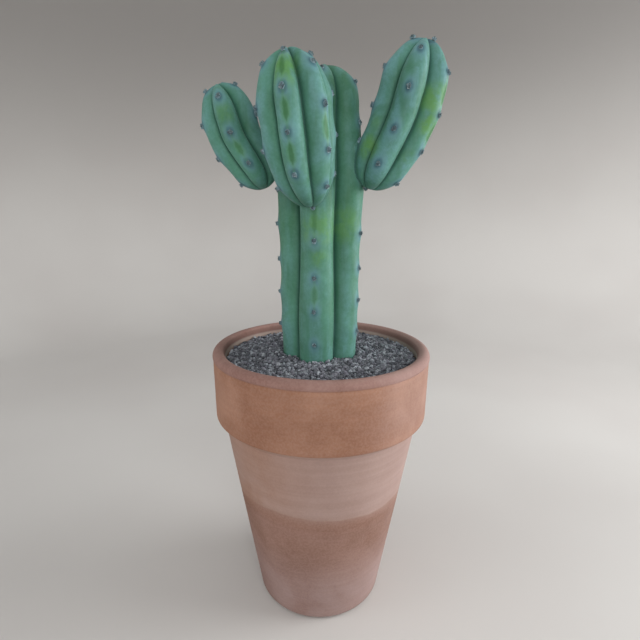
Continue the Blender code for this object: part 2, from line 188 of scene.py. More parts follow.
def new_object(name, data):
    made = bpy.data.objects.new(name, data)
    bpy.context.scene.collection.objects.link(made)
    return made


def matrix_of(columns):
    """A 4 x 4 matrix from its axes and its place."""
    return Matrix([[column[row] for column in columns] for row in range(3)] + [[0, 0, 0, 1]])


def settle(piece, name, finish, stands_for=None):
    """Names a finished piece, gives it its finish and tells the frame what it is."""
    piece.name = piece.data.name = name
    piece.data.materials.clear()
    piece.data.materials.append(finish)
    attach(piece, "root")
    if stands_for:
        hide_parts(stands_for)
    return piece


def mesh_piece(name, points, faces):
    mesh = bpy.data.meshes.new(name)
    mesh.from_pydata(points, [], faces)
    mesh.update()
    return new_object(name, mesh)


# Finishes

class Wiring:
    """Adds nodes to a node tree. Apart from node and parts, a call gives back one output socket."""

    def __init__(self, tree):
        self.tree = tree

    def node(self, kind, sockets=None, **settings):
        made = self.tree.nodes.new(kind)
        for key, value in settings.items():
            setattr(made, key, value)
        for key, value in (sockets or {}).items():
            if isinstance(value, bpy.types.NodeSocket):
                self.tree.links.new(value, made.inputs[key])
            else:
                made.inputs[key].default_value = value
        return made

    def place(self):
        return self.node("ShaderNodeTexCoord").outputs["Object"]

    def stretched(self, vector, scale):
        return self.node("ShaderNodeMapping", {"Vector": vector, "Scale": scale}).outputs[0]

    def noise(self, vector, scale, detail=3.0, roughness=0.55, distortion=0.0):
        made = self.node("ShaderNodeTexNoise", {"Vector": vector, "Scale": scale, "Detail": detail,
                                                "Roughness": roughness, "Distortion": distortion})
        return made.outputs["Fac"]

    def cells(self, vector, scale):
        return self.node("ShaderNodeTexVoronoi", {"Vector": vector, "Scale": scale}).outputs["Color"]

    def math(self, operation, a, b=0.0):
        return self.node("ShaderNodeMath", {0: a, 1: b}, operation=operation).outputs[0]

    def plus(self, a, b):
        return self.math("ADD", a, b)

    def times(self, a, b):
        return self.math("MULTIPLY", a, b)

    def reach(self, a, b):
        """How far off a point is that lies a away in one direction and b square to it."""
        return self.math("SQRT", self.plus(self.math("POWER", a, 2.0), self.math("POWER", b, 2.0)))

    def shift(self, pattern, size):
        """A pattern made a shift, of up to half the size either way."""
        return self.times(self.math("SUBTRACT", pattern, 0.5), size)

    def span(self, value, low, high, to_low=0.0, to_high=1.0):
        return self.node("ShaderNodeMapRange", {0: value, 1: low, 2: high, 3: to_low, 4: to_high},
                         interpolation_type="SMOOTHSTEP").outputs[0]

    def fade(self, value, low, high):
        return self.span(value, low, high, 1.0, 0.0)

    def between(self, value, start, full, fading, end):
        """A mask that is full in a range, with a soft edge on both sides."""
        return self.times(self.span(value, start, full), self.fade(value, fading, end))

    def blend(self, share, a, b):
        return self.node("ShaderNodeMix", {0: share, 6: a, 7: b}, data_type="RGBA").outputs[2]

    def tint(self, colour, mask, strength, target):
        """The colour, drawn towards another where the mask is."""
        return self.blend(self.times(mask, strength), colour, target)

    def attribute(self, name):
        return self.node("ShaderNodeAttribute", attribute_name=name).outputs["Fac"]

    def parts(self, vector):
        return self.node("ShaderNodeSeparateXYZ", {0: vector}).outputs

    def bump(self, height, distance, strength):
        return self.node("ShaderNodeBump", {"Height": height, "Distance": distance,
                                            "Strength": strength}).outputs[0]


def rgb(r, g, b):
    """A colour from its screen values, 0 to 255."""
    def linear(v):
        v /= 255.0
        return v / 12.92 if v <= 0.04045 else ((v + 0.055) / 1.055) ** 2.4
    return (linear(r), linear(g), linear(b), 1.0)


def new_group(name, inputs, outputs):
    group = bpy.data.node_groups.new(name, "ShaderNodeTree")
    for label, kind in inputs:
        group.interface.new_socket(label, in_out="INPUT", socket_type=kind)
    for label, kind in outputs:
        group.interface.new_socket(label, in_out="OUTPUT", socket_type=kind)
    wires = Wiring(group)
    return group, wires, wires.node("NodeGroupInput").outputs, wires.node("NodeGroupOutput").inputs


def make_mottle():
    """Cloudy colour changes at two scales, and a fine height for bumps."""
    group, w, given, out = new_group(
        "mottle",
        [("Vector", "NodeSocketVector"), ("Coarse", "NodeSocketFloat"), ("Fine", "NodeSocketFloat")],
        [("Clouds", "NodeSocketFloat"), ("Specks", "NodeSocketFloat"), ("Height", "NodeSocketFloat")])
    clouds = w.noise(given["Vector"], given["Coarse"], 4.0, 0.6, 0.4)
    specks = w.noise(given["Vector"], given["Fine"], 2.0, 0.6)
    grain = w.noise(given["Vector"], w.times(given["Fine"], 2.3), 2.0, 0.7)
    group.links.new(w.span(clouds, 0.32, 0.68), out["Clouds"])
    group.links.new(w.span(specks, 0.35, 0.65), out["Specks"])
    group.links.new(w.plus(w.times(specks, 0.6), w.times(grain, 0.4)), out["Height"])
    return group


def make_dust():
    """Pale dust that lies where a surface faces up."""
    group, w, given, out = new_group(
        "dust",
        [("Colour", "NodeSocketColor"), ("Dust", "NodeSocketColor"), ("Amount", "NodeSocketFloat"),
         ("Vector", "NodeSocketVector")],
        [("Colour", "NodeSocketColor")])
    up = w.parts(w.node("ShaderNodeNewGeometry").outputs["Normal"])["Z"]
    patchy = w.span(w.noise(given["Vector"], 90.0, 3.0), 0.35, 0.7)
    share = w.times(w.times(w.span(up, 0.1, 0.95), patchy), given["Amount"])
    group.links.new(w.blend(share, given["Colour"], given["Dust"]), out["Colour"])
    return group


MOTTLE = make_mottle()
DUST = make_dust()


def new_finish(name, roughness, **shader_values):
    finish = bpy.data.materials.new(name)
    finish.use_nodes = True
    shader = finish.node_tree.nodes["Principled BSDF"]
    shader.inputs["Roughness"].default_value = roughness
    for key, value in shader_values.items():
        shader.inputs[key.replace("_", " ")].default_value = value
    return finish, Wiring(finish.node_tree), shader.inputs


def coat(w, shader, colour, bump):
    w.tree.links.new(colour, shader["Base Color"])
    w.tree.links.new(bump, shader["Normal"])


def mottle(w, vector, coarse, fine):
    made = w.node("ShaderNodeGroup", node_tree=MOTTLE)
    w.tree.links.new(vector, made.inputs["Vector"])
    made.inputs["Coarse"].default_value = coarse
    made.inputs["Fine"].default_value = fine
    return made.outputs["Clouds"], made.outputs["Specks"], made.outputs["Height"]


def dusted(w, vector, colour, dust, amount):
    made = w.node("ShaderNodeGroup", node_tree=DUST)
    w.tree.links.new(colour, made.inputs["Colour"])
    w.tree.links.new(vector, made.inputs["Vector"])
    made.inputs["Dust"].default_value = dust
    made.inputs["Amount"].default_value = amount
    return made.outputs["Colour"]


# Where the skin's colours change: heights, and distances from an areole or from a rib's crest. A pair is a
# fade's start and end. Four values are a mark that fades in and out.
UPPER_STEM = (0.345, 0.420)
LOW_STEM = (0.270, 0.380)
STEM_BLOOM = (0.50, 0.60)
AREOLE_HALO = (0.0030, 0.0090)
AREOLE_RING = (0.0010, 0.0019, 0.0022, 0.0046)
RING_BLOOM = (0.50, 0.70)
OVAL_STRETCH = 1.35
OVAL_SHIFT = 0.0016
DASH_SHIFT = 0.0020
DASH_TAPER = 0.0026
DASH_TAPER_SPAN = (0.0040, 0.0130)
DASH_FRINGE = (-0.0006, 0.0026)
DASH_CORE = (-0.0018, 0.0006)
DASH_FROM = (0.0050, 0.0080)


def waxy_green(w, place, clouds, patchy, bloom):
    """Green with painted shade in the grooves, under a pale bloom that has run down in long streaks."""
    crest = w.attribute("crest")
    z = w.parts(place)["Z"]
    on_stem = w.fade(bloom, *STEM_BLOOM)
    streaks = w.noise(w.stretched(place, (90.0, 90.0, 14.0)), 1.0, 3.0, 0.6)
    colour = w.blend(clouds, rgb(62, 116, 88), rgb(80, 138, 114))
    colour = w.tint(colour, w.times(w.span(z, *UPPER_STEM), on_stem), 0.75, rgb(54, 108, 64))
    # Painted shade: the green darkens from the crests into the grooves.
    colour = w.blend(w.span(crest, 0.0, 0.45), rgb(34, 82, 66), colour)
    low = w.times(w.span(z, *LOW_STEM, 0.50, 0.0), on_stem)
    wax = w.times(w.plus(bloom, low), w.span(streaks, 0.34, 0.62, 0.25, 1.0))
    wax = w.times(wax, w.span(crest, 0.15, 0.85, 0.30, 1.0))
    wax = w.times(wax, w.span(patchy, 0.34, 0.58, 0.45, 1.0))
    return w.blend(wax, colour, rgb(102, 152, 152))


def areole_marks(w, colour, near, side, patchy, specks, bloom):
    """A pale halo and a dark ring round each areole."""
    oval = w.reach(w.math("DIVIDE", near, OVAL_STRETCH), side)
    oval = w.plus(oval, w.shift(patchy, OVAL_SHIFT))
    halo = w.times(w.fade(oval, *AREOLE_HALO), w.span(specks, 0.0, 1.0, 0.30, 0.50))
    colour = w.blend(halo, colour, rgb(102, 144, 160))
    ring = w.times(w.between(oval, *AREOLE_RING), w.span(bloom, *RING_BLOOM, 0.30, 0.58))
    return w.blend(ring, colour, rgb(50, 88, 106))


def green_dashes(w, place, colour, near, side):
    """Dark green streaks on a crest, between two areoles."""
    dash = w.attribute("dash")
    taper = w.times(w.span(near, *DASH_TAPER_SPAN), DASH_TAPER)
    edge = w.math("SUBTRACT", w.plus(side, w.shift(w.noise(place, 260.0, 2.0), DASH_SHIFT)), taper)
    colour = w.tint(colour, w.times(w.fade(edge, *DASH_FRINGE), dash), 0.40, rgb(92, 150, 84))
    core = w.times(w.times(w.fade(edge, *DASH_CORE), dash), w.span(near, *DASH_FROM))
    return w.tint(colour, core, 0.80, rgb(42, 98, 44))


def make_skin():
    finish, w, shader = new_finish("waxy_skin", 0.60, Specular_IOR_Level=0.35, Sheen_Weight=0.08,
                                   Sheen_Roughness=0.5, Sheen_Tint=rgb(190, 215, 215))
    place = w.place()
    clouds, specks, height = mottle(w, place, 26.0, 420.0)
    patchy = w.noise(place, 46.0, 4.0, 0.65, 0.6)
    near, side, bloom = (w.attribute(name) for name in ("near", "side", "bloom"))
    colour = waxy_green(w, place, clouds, patchy, bloom)
    colour = w.tint(colour, specks, 0.14, rgb(54, 104, 74))
    colour = w.tint(colour, w.attribute("shade"), 0.45, rgb(44, 84, 72))
    sunny = w.times(w.attribute("sunny"), w.span(w.noise(place, 120.0, 3.0), 0.30, 0.58, 0.2, 1.0))
    colour = w.tint(colour, sunny, 0.75, rgb(92, 146, 62))
    colour = areole_marks(w, colour, near, side, patchy, specks, bloom)
    colour = green_dashes(w, place, colour, near, side)
    w.tree.links.new(w.span(specks, 0.0, 1.0, 0.54, 0.68), shader["Roughness"])
    coat(w, shader, colour, w.bump(height, 0.00012, 0.6))
    return finish


def make_felt():
    finish, w, shader = new_finish("areole_felt", 0.95, Sheen_Weight=0.5, Sheen_Roughness=0.6)
    clouds, specks, height = mottle(w, w.place(), 160.0, 900.0)
    colour = w.blend(clouds, rgb(90, 124, 136), rgb(132, 162, 170))
    coat(w, shader, w.tint(colour, specks, 0.4, rgb(66, 92, 108)), w.bump(height, 0.0003, 0.8))
    return finish


def make_thorn():
    finish, w, shader = new_finish("dark_thorn", 0.45)
    clouds, _, height = mottle(w, w.place(), 300.0, 1500.0)
    colour = w.blend(clouds, rgb(70, 90, 96), rgb(122, 140, 142))
    coat(w, shader, colour, w.bump(height, 0.0001, 0.5))
    return finish


# Where the clay's colours change: heights, and distances from the axis for the painted shade inside the
# mouth and for the salt line.
DAMP_FROM = (0.030, 0.100)
DAMP_TO = (0.120, 0.138)
TIDE_MARK = (0.112, 0.128, 0.131, 0.134)
COLLAR_FROM = (0.2085, 0.2105)
LIP_FROM = (0.2695, 0.2715)
INSIDE_SHADE_R = (0.0985, 0.1005)
INSIDE_SHADE_FROM = (0.235, 0.245)
SALT_LINE = (0.2655, 0.2680, 0.2700, 0.2725)
SALT_LINE_R = (0.1000, 0.1020)
LEVEL_SHIFT = 0.024


def make_clay():
    finish, w, shader = new_finish("turned_clay", 0.88, Specular_IOR_Level=0.3)
    place = w.place()
    clouds, specks, height = mottle(w, place, 16.0, 480.0)
    x, y, z = (w.parts(place)[axis] for axis in "XYZ")
    turned = w.noise(w.stretched(place, (6.0, 6.0, 260.0)), 1.0, 3.0, 0.6)
    wander = w.shift(w.noise(place, 9.0, 3.0, 0.5), LEVEL_SHIFT)
    level = w.plus(z, wander)
    salt_level = w.plus(z, w.times(wander, 0.10))

    foot = w.blend(clouds, rgb(144, 116, 110), rgb(160, 136, 132))
    damp = w.blend(clouds, rgb(132, 98, 84), rgb(150, 116, 104))
    # Partly the clay's own tone, partly painted light: the body pales towards +X, the window's side.
    body = w.blend(w.span(x, -0.085, 0.015), rgb(160, 124, 106), rgb(166, 140, 132))
    body = w.tint(body, clouds, 0.5, rgb(180, 156, 148))
    collar = w.blend(clouds, rgb(147, 103, 80), rgb(171, 128, 106))
    # The lip's pale pink clay, darkened to paint shade on the up-facing rim.
    lip = w.blend(clouds, rgb(142, 106, 98), rgb(160, 126, 118))
    colour = w.blend(w.span(level, *DAMP_FROM), foot, damp)
    colour = w.blend(w.span(level, *DAMP_TO), colour, body)
    colour = w.tint(colour, w.between(level, *TIDE_MARK), 0.40, rgb(134, 92, 72))
    colour = w.blend(w.span(z, *COLLAR_FROM), colour, collar)
    colour = w.blend(w.span(z, *LIP_FROM), colour, lip)

    # Lime bloom, thicker towards +X: partly real lime, partly a painted reflection of the window light on
    # that side.
    lime_and_painted_reflection = w.plus(w.times(x, 7.0), w.math("SUBTRACT", w.noise(place, 14.0, 4.0, 0.6), 0.5))
    colour = w.tint(colour, w.span(lime_and_painted_reflection, 0.15, 0.85), 0.32, rgb(184, 164, 162))
    colour = w.tint(colour, w.span(turned, 0.35, 0.65), 0.12, rgb(116, 84, 72))
    colour = w.tint(colour, specks, 0.14, rgb(196, 168, 156))
    reach = w.reach(x, y)
    # Painted shade on the inner wall above the grit and on the lip's inner edge.
    inside = w.times(w.fade(reach, *INSIDE_SHADE_R), w.span(z, *INSIDE_SHADE_FROM))
    colour = w.tint(colour, inside, 0.50, rgb(98, 70, 62))
    salt = w.times(w.between(salt_level, *SALT_LINE), w.fade(reach, *SALT_LINE_R))
    colour = w.tint(colour, salt, 0.45, rgb(196, 188, 180))
    w.tree.links.new(w.span(specks, 0.0, 1.0, 0.82, 0.94), shader["Roughness"])
    coat(w, shader, dusted(w, place, colour, rgb(160, 138, 128), 0.15),
         w.bump(w.plus(height, w.times(turned, 0.5)), 0.00022, 0.7))
    return finish


def make_stone(name, dark, light):
    finish, w, shader = new_finish(name, 0.9, Specular_IOR_Level=0.35)
    place = w.place()
    clouds, specks, height = mottle(w, place, 210.0, 1400.0)
    colour = w.blend(w.parts(w.cells(place, 240.0))["X"], dark, light)
    colour = w.tint(colour, clouds, 0.25, rgb(112, 114, 122))
    colour = w.tint(colour, specks, 0.16, rgb(190, 192, 196))
    colour = dusted(w, place, colour, rgb(172, 174, 178), 0.25)
    coat(w, shader, colour, w.bump(height, 0.0003, 0.8))
    return finish


def make_earth():
    finish, w, shader = new_finish("peat_earth", 0.97, Specular_IOR_Level=0.2)
    clouds, specks, height = mottle(w, w.place(), 70.0, 620.0)
    colour = w.blend(clouds, rgb(44, 34, 28), rgb(70, 56, 46))
    coat(w, shader, w.tint(colour, specks, 0.3, rgb(98, 84, 70)), w.bump(height, 0.0012, 0.9))
    return finish


def make_paper():
    finish, w, shader = new_finish("pale_paper", 0.9)
    place = w.place()
    clouds = w.span(w.noise(place, 2.2, 2.0, 0.5), 0.3, 0.7)
    colour = w.blend(clouds, rgb(208, 205, 202), rgb(214, 212, 209))
    # Painted shade: the backdrop darkens with height, standing in for light that falls off towards the top.
    height = w.span(w.parts(place)["Z"], 0.10, 1.10)
    w.tree.links.new(w.blend(height, colour, rgb(152, 149, 146)), shader["Base Color"])
    return finish


# Pot

def arc(centre, radius, start, end, steps):
    angles = [math.radians(mix(start, end, i / steps)) for i in range(steps + 1)]
    return [(centre[0] + radius * math.cos(a), centre[1] + radius * math.sin(a)) for a in angles]


def inner_radius(z):
    if z < INNER_COLLAR_Z:
        return mix(INNER_BASE_R, INNER_COLLAR_R, (z - FLOOR_Z) / (INNER_COLLAR_Z - FLOOR_Z))
    return mix(INNER_COLLAR_R, MOUTH_R, (z - INNER_COLLAR_Z) / (RIM_Z - INNER_COLLAR_Z))


def run(start, end):
    """Profile points on a straight line, an even step apart, without its first point."""
    count = max(1, round(math.dist(start, end) / CLAY_STEP))
    return [(mix(start[0], end[0], i / count), mix(start[1], end[1], i / count))
            for i in range(1, count + 1)]


def rippled(profile, rng):
    """The faint rings that turning leaves on a wall."""
    return [(r + rng.uniform(-TURNING_RIPPLE, TURNING_RIPPLE), z) for r, z in profile]


def pot_profile():
    rng = random.Random(SEED)
    foot = arc((FOOT_OUTER_R, BASE_ROUND), BASE_ROUND, -90, -10, 8)
    body_top = (BODY_TOP_R, BODY_TOP_Z)
    fillet = arc((COLLAR_R - COLLAR_ROUND, COLLAR_Z), COLLAR_ROUND, -75, 0, 5)
    collar_top = (COLLAR_TOP_R, LIP_GROOVE_Z - 2.0 * LIP_GROOVE_HALF)
    groove_edge = (COLLAR_TOP_R - LIP_GROOVE_SLOPE, LIP_GROOVE_Z - LIP_GROOVE_HALF)
    lip = arc((RIM_R - LIP_ROUND, RIM_Z - LIP_ROUND), LIP_ROUND, -10, 180, 22)
    inside = [(inner_radius(z), z) for z in (*INNER_LEVELS, INNER_COLLAR_Z)]
    profile = [(DRAIN_R, FLOOR_Z), (DRAIN_R, FOOT_RECESS), (FOOT_INNER_R - FOOT_RECESS, FOOT_RECESS),
               (FOOT_INNER_R, 0.0)]
    profile += foot
    profile += rippled(run(foot[-1], body_top), rng)
    profile += fillet
    profile += rippled(run(fillet[-1], collar_top), rng)
    profile += [groove_edge, (LIP_GROOVE_R, LIP_GROOVE_Z)]
    profile += lip
    profile += rippled(run(lip[-1], inside[0]), rng)
    profile += inside[1:]
    profile += [(INNER_BASE_R, FLOOR_Z), (DRAIN_R, FLOOR_Z)]
    return profile


def draw_out(profile, extrude):
    """Draws the selected circle out along a profile of radii and heights, in edit mode."""
    for (r, z), (next_r, next_z) in zip(profile, profile[1:]):
        extrude(TRANSFORM_OT_translate={"value": (0.0, 0.0, next_z - z)})
        share = next_r / r
        bpy.ops.transform.resize(value=(share, share, 1.0), center_override=(0.0, 0.0, next_z))


def turn(profile, sides):
    """A wall turned round the Z axis: a circle drawn out along a profile that ends where it starts."""
    select_nothing()
    r, z = profile[0]
    bpy.ops.mesh.primitive_circle_add(vertices=sides, radius=r, location=(0.0, 0.0, z))
    piece = bpy.context.object
    bpy.ops.object.transform_apply(location=True, rotation=True, scale=True)
    bpy.ops.object.mode_set(mode="EDIT")
    draw_out(profile, bpy.ops.mesh.extrude_region_move)
    bpy.ops.mesh.select_all(action="SELECT")
    bpy.ops.mesh.remove_doubles(threshold=1e-5)
    bpy.ops.mesh.normals_make_consistent(inside=False)
    bpy.ops.object.mode_set(mode="OBJECT")
    bpy.ops.object.shade_smooth_by_angle(angle=SHARP_EDGE)
    return piece


# Cactus

def rib_height(t):
    return math.sin(math.pi * t) ** RIB_ROUNDNESS if t > 0.0 else 0.0


def rise(z, span):
    return ease((z - span[0]) / (span[1] - span[0]))


def crown_share(share):
    return math.sqrt(max(1.0 - share ** DOME_POWER, 0.0))


def stem_axis_x(z):
    return mix(STEM_AXIS_X, STEM_TIP_X, rise(z, (STEM_LEAN_Z, STEM_TIP_Z)))


def stem_groove(z):
    return mix(STEM_GROOVE, STEM_GROOVE_TOP, rise(z, STEM_GROOVE_RISE))


def stem_crest(z):
    if z < STEM_BURIED_Z:
        return mix(STEM_FOOT_R, STEM_R, rise(z, (STEM_FOOT_Z, STEM_BURIED_Z)))
    radius = mix(STEM_R, STEM_SHAFT_R, rise(z, STEM_SHAFT_RISE))
    radius = mix(radius, STEM_SHOULDER_R, rise(z, STEM_SHOULDER_RISE))
    radius = mix(radius, STEM_TOP_R, rise(z, (STEM_TAPER_Z, STEM_CROWN_Z)))
    if z > STEM_CROWN_Z:
        radius *= crown_share(min((z - STEM_CROWN_Z) / (STEM_TIP_Z - STEM_CROWN_Z), 1.0))
    return radius


def curve_point(path, t):
    last = len(path) - 1
    span = min(int(t * last), last - 1)
    u = t * last - span
    p1, p2 = Vector(path[span]), Vector(path[span + 1])
    p0 = Vector(path[span - 1]) if span > 0 else 2.0 * p1 - p2
    p3 = Vector(path[span + 2]) if span + 2 <= last else 2.0 * p2 - p1
    return 0.5 * (2.0 * p1 + (p2 - p0) * u + (2.0 * p0 - 5.0 * p1 + 4.0 * p2 - p3) * u ** 2
                  + (3.0 * p1 - p0 - 3.0 * p2 + p3) * u ** 3)


def arm_crest(arm, t):
    swell = max(1.0 - t / ARM_FULL_AT, 0.0)
    radius = arm["radius"] * (1.0 - swell ** DOME_POWER) ** (1.0 / DOME_POWER)
    if t > ARM_CROWN_AT:
        radius *= crown_share((t - ARM_CROWN_AT) / (1.0 - ARM_CROWN_AT))
    return radius


def arm_axes(arm):
    """(along, forward, sideways) of an arm's rings, which all stand square to its upper part."""
    along = (Vector(arm["path"][-1]) - Vector(arm["path"][2])).normalized()
    forward = Vector((0.0, -1.0, 0.0))
    forward = (forward - forward.dot(along) * along).normalized()
    return along, forward, along.cross(forward)


def inside_a_limb(point, own=None):
    if own != "stem" and point.z < STEM_TIP_Z:
        offset = point - Vector((stem_axis_x(point.z), 0.0, point.z))
        if offset.length < stem_crest(point.z) + LIMB_MARGIN:
            return True
    for name, arm in ARMS.items():
        if name == own:
            continue
        for i in range(LIMB_SAMPLES + 1):
            t = i / LIMB_SAMPLES
            if (point - curve_point(arm["path"], t)).length < arm_crest(arm, t) + LIMB_MARGIN:
                return True
    return False


def stem_areoles(rng):
    """(rib, point, outward, along) of the areoles on the stem's crests."""
    found = []
    for rib in range(STEM_RIBS):
        angle = STEM_FRONT_RIB + 2.0 * math.pi * rib / STEM_RIBS
        out = polar(1.0, angle)
        side = Vector((0.0, 0.0, 1.0)).cross(out)
        z = FIRST_STEM_AREOLE_Z
        if rib > 0:
            z += rng.uniform(0.0, STEM_FIRST_SHIFT) * STEM_AREOLE_STEP
        while z < STEM_TIP_Z - STEM_LAST_AREOLE:
            point = out * stem_crest(z) + Vector((stem_axis_x(z), 0.0, z))
            above = out * stem_crest(z + SLOPE_STEP) + Vector((stem_axis_x(z), 0.0, z + SLOPE_STEP))
            along = (above - point).normalized()
            outward = side.cross(along).normalized()
            found.append((rib, point, outward, along))
            gap = STEM_AREOLE_STEP * rng.uniform(*STEM_AREOLE_SPREAD)
            z += gap if z < STEM_CROWN_Z else gap * STEM_CROWN_SHARE
    return [areole for areole in found if not inside_a_limb(areole[1], "stem")]


def arm_areoles(name, arm, rng):
    """(rib, point, outward, along) of the areoles on an arm's crests, from the crown down to the base."""
    found = []
    _, forward, sideways = arm_axes(arm)
    fine = [i / ARM_FINE_STEPS for i in range(ARM_FINE_STEPS + 1)]
    for rib in range(arm["ribs"]):
        angle = arm["front_rib"] + 2.0 * math.pi * rib / arm["ribs"]
        out = forward * math.cos(angle) + sideways * math.sin(angle)
        crest = [curve_point(arm["path"], t) + out * arm_crest(arm, t) for t in fine]
        left = arm["first_areoles"][rib]
        for i in range(len(fine) - 2, ARM_LOWEST_STEP, -1):
            left -= (crest[i + 1] - crest[i]).length
            if left > 0.0:
                continue
            along = (crest[i + 1] - crest[i - 1]).normalized()
            outward = (out - out.dot(along) * along).normalized()
            found.append((rib, crest[i], outward, along))
            left = ARM_AREOLE_STEP * rng.uniform(*ARM_AREOLE_SPREAD)
    return [areole for areole in found if not inside_a_limb(areole[1], name)]


# The skin's fine shape, and how many rings and points draw it
CREASE_DEPTH = 0.0009
CREASE_WIDTH = 0.0018
AREOLE_SWELL = 0.0012
SWELL_LENGTH = 0.0075
SWELL_BASE = 0.35
SKIN_LUMPS = 0.0004
LUMP_SCALE = 32.0
FULL_DETAIL_R = 0.022
STEM_LOW_LEVELS = (0.1965, 0.2030, 0.2150, 0.2300, 0.2450, 0.2570)
STEM_SHAFT_RINGS = 112
STEM_CROWN_RINGS = 18
ARM_BASE_RINGS = 34
ARM_SHAFT_RINGS = 12
ARM_CROWN_RINGS = 32
CROWN_SWEEP = 0.5 * math.pi * 0.975
STEM_POINTS_PER_RIB = 28
ARM_POINTS_PER_RIB = 24
EVEN_SPACING = 0.3

# What the skin's finish reads at each point. A sunny spot is its place, size and strength.
FAR_FROM_AREOLES = 0.02
SIDE_RIB_DASHES = 0.25
SHADED_SHARE = 0.22
NECK_BLOOM = 0.2
SKIN_VALUES = ("crest", "near", "side", "bloom", "dash", "sunny", "shade")
SUNNY_SPOTS = (((0.0906, -0.0520, 0.5009), 0.0085, 1.0), ((0.0882, -0.0500, 0.4823), 0.0070, 1.0),
               ((0.0355, -0.0450, 0.4671), 0.0085, 1.0), ((0.0406, -0.0470, 0.4864), 0.0060, 0.8),
               ((-0.0286, -0.0980, 0.5165), 0.0085, 0.9), ((-0.0284, -0.1020, 0.5058), 0.0060, 0.8),
               ((0.0206, -0.0330, 0.4005), 0.0120, 0.6), ((-0.0037, -0.0400, 0.3979), 0.0110, 0.7),
               ((-0.0829, -0.0380, 0.4934), 0.0060, 0.4), ((0.0722, -0.0550, 0.4559), 0.0060, 0.7),
               ((-0.0020, -0.0400, 0.3720), 0.0060, 0.6))


def put_values(piece, key, numbers):
    layer = piece.data.attributes.new(key, "FLOAT", "POINT")
    layer.data.foreach_set("value", numbers)


def spaced(start, end, count):
    return [mix(start, end, i / count) for i in range(1, count + 1)]


def crown_spaced(start, end, count):
    """Levels that draw closer together towards the tip, and stop just short of it."""
    return [mix(start, end, math.sin(CROWN_SWEEP * i / count)) for i in range(1, count + 1)]


def stem_rings():
    """(centre, along, forward, sideways, crest radius, groove share, sink) from the foot to the tip."""
    levels = list(STEM_LOW_LEVELS)
    levels += spaced(STEM_LOW_LEVELS[-1], STEM_CROWN_Z, STEM_SHAFT_RINGS)
    levels += crown_spaced(STEM_CROWN_Z, STEM_TIP_Z, STEM_CROWN_RINGS)
    up, forward, sideways = Vector((0, 0, 1)), Vector((0, -1, 0)), Vector((1, 0, 0))
    rings = []
    for z in levels:
        share = max(z - STEM_CROWN_Z, 0.0) / (STEM_TIP_Z - STEM_CROWN_Z)
        centre = Vector((stem_axis_x(z), 0.0, z))
        rings.append((centre, up, forward, sideways, stem_crest(z), stem_groove(z),
                      CROWN_GROOVE_SINK * share))
    return rings


def arm_rings(arm):
    """The same for an arm, from its base to its tip."""
    stations = [ARM_FULL_AT * (1.0 - math.cos(0.5 * math.pi * i / ARM_BASE_RINGS))
                for i in range(2, ARM_BASE_RINGS + 1)]
    stations += spaced(ARM_FULL_AT, ARM_CROWN_AT, ARM_SHAFT_RINGS)
    stations += crown_spaced(ARM_CROWN_AT, 1.0, ARM_CROWN_RINGS)
    axes = arm_axes(arm)
    rings = []
    for t in stations:
        share = max(t - ARM_CROWN_AT, 0.0) / (1.0 - ARM_CROWN_AT)
        rings.append((curve_point(arm["path"], t), *axes, arm_crest(arm, t),
                      mix(ARM_GROOVE, ARM_GROOVE_TOP, ease(t / ARM_CROWN_AT)), CROWN_GROOVE_SINK * share))
    return rings


def crest_line(rib, angle, rings, areoles, wax, dash_chance, rng):
    """Along one crest: the rings' distances from the base, the areoles' distances, and each gap's dash."""
    line = [c + (f * math.cos(angle) + s * math.sin(angle)) * r for c, _, f, s, r, _, _ in rings]
    lengths = [0.0]
    for a, b in zip(line, line[1:]):
        lengths.append(lengths[-1] + (b - a).length)
    spots = []
    for areole_rib, point, _, along in areoles:
        if areole_rib == rib:
            k = min(range(len(line)), key=lambda i: (line[i] - point).length)
            spots.append(lengths[k] + (point - line[k]).dot(along))
    spots.sort()
    dashes = [wax if rng.random() < dash_chance else 0.0 for _ in range(len(spots) + 1)]
    dashes[0] = dashes[-1] = 0.0
    return lengths, spots, dashes


def sunny(place):
    return max(strength * ease(1.5 - 0.75 * (place - Vector(spot)).length / size)
               for spot, size, strength in SUNNY_SPOTS)


def skin_point(ring, angle, t, pitch, near):
    """A point of the skin on a ring, t of the way from one groove to the next."""
    centre, along, forward, sideways, radius, groove, sink = ring
    out = forward * math.cos(angle) + sideways * math.sin(angle)
    height = rib_height(t)
    from_groove = min(t, 1.0 - t) * pitch * radius
    full = min(radius / FULL_DETAIL_R, 1.0)
    r = radius * mix(groove, 1.0, height)
    r -= CREASE_DEPTH * full * math.exp(-(from_groove / CREASE_WIDTH) ** 2)
    r += AREOLE_SWELL * full * (math.exp(-(near / SWELL_LENGTH) ** 2) - SWELL_BASE) * height ** 3
    place = centre + out * r - along * sink * (1.0 - height)
    return place + out * noise.noise(place * LUMP_SCALE) * SKIN_LUMPS * full


